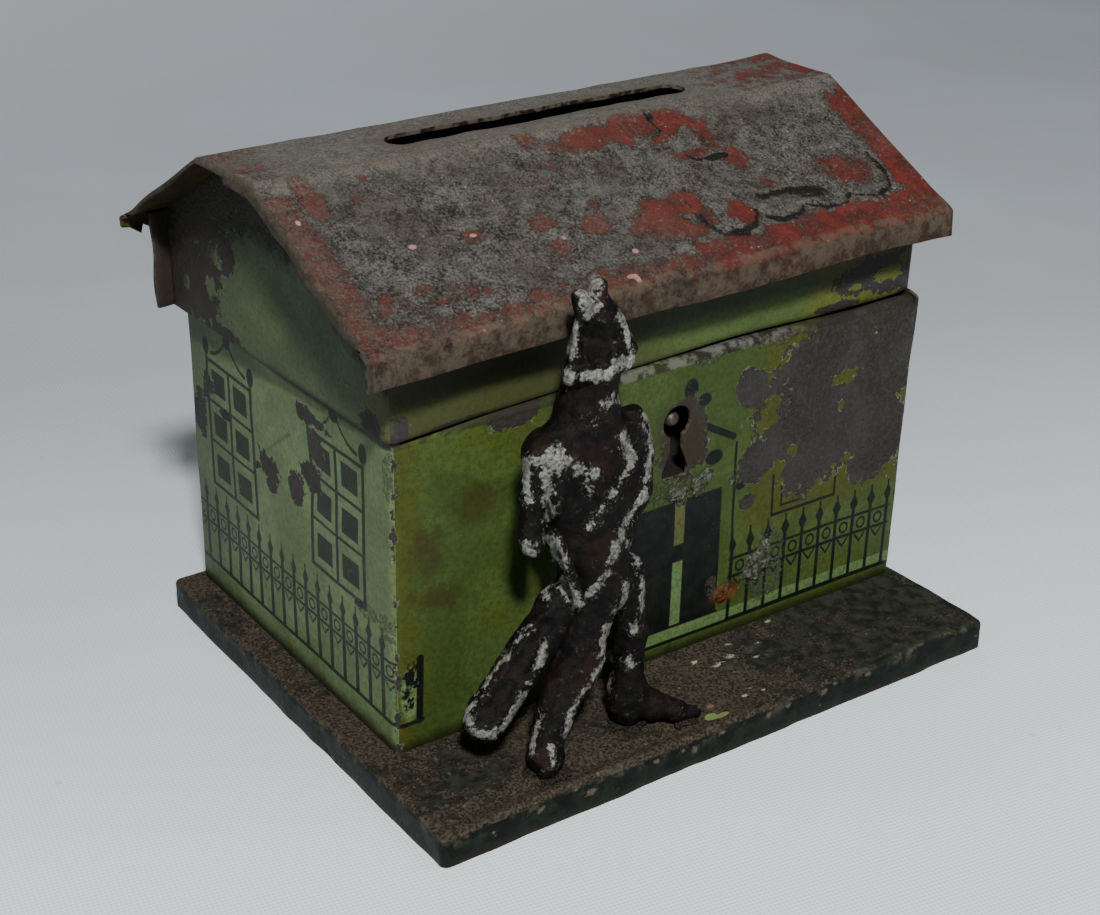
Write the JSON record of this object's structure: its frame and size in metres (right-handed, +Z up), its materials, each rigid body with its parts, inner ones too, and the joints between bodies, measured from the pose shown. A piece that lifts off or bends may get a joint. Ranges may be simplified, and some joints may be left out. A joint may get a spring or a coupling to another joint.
{
  "type": "tin money box",
  "caption": "Small house-shaped tin money box with a hinged roof lid, a coin slot along the ridge, a key lock in the front wall and a cast animal figure standing on its porch.",
  "frame": {"origin": "bottom centre of the whole object's box, on the plane it stands on", "axes": "+X to the right along the front wall, +Y to the rear where the lid is hinged, +Z up"},
  "size_m": [0.0694, 0.0559, 0.054],
  "materials": {
    "base_paint": "worn matt black-green enamel over tinplate",
    "wall_litho": "worn printed green tinplate with black line art",
    "lid_litho": "worn printed green tinplate",
    "roof_paint": "worn red printed tinplate, mostly bare grey-brown",
    "bare_tin": "tarnished bare tinplate",
    "solder": "dull grey soft solder",
    "spring_steel": "satin",
    "old_iron": "brown tarnished iron",
    "lead_casting": "black paint worn through to pale lead"
  },
  "bodies": {
    "box": {"base_tray": "base_paint", "box_walls": "wall_litho", "floor_solder": "solder", "hinge_leaf_box": "bare_tin", "hinge_wire": "bare_tin", "lock_case": "bare_tin", "key_post": "old_iron", "lock_ward": "bare_tin", "bolt_spring": "spring_steel", "lock_solder": "solder", "figure": "lead_casting", "figure_solder": "solder", "old_solder": "solder"},
    "lid": {"lid_walls": "lid_litho", "lid_rear_wall": "lid_litho", "roof": "roof_paint", "roof_solder": "solder", "hinge_leaf_lid": "bare_tin", "lid_staple": "bare_tin", "staple_rivets": "bare_tin"},
    "bolt": {"lock_bolt": "old_iron"}
  },
  "joints": [
    {"name": "lid_hinge", "type": "hinge", "parent": "box", "child": "lid", "pos_m": [0.00231, 0.0272, 0.03425], "axis": [-1, 0, 0], "range_deg": [0, 175]},
    {"name": "lock_bolt", "type": "slide", "parent": "box", "child": "bolt", "axis": [1, 0, 0], "range_m": [0, 0.004]}
  ]
}
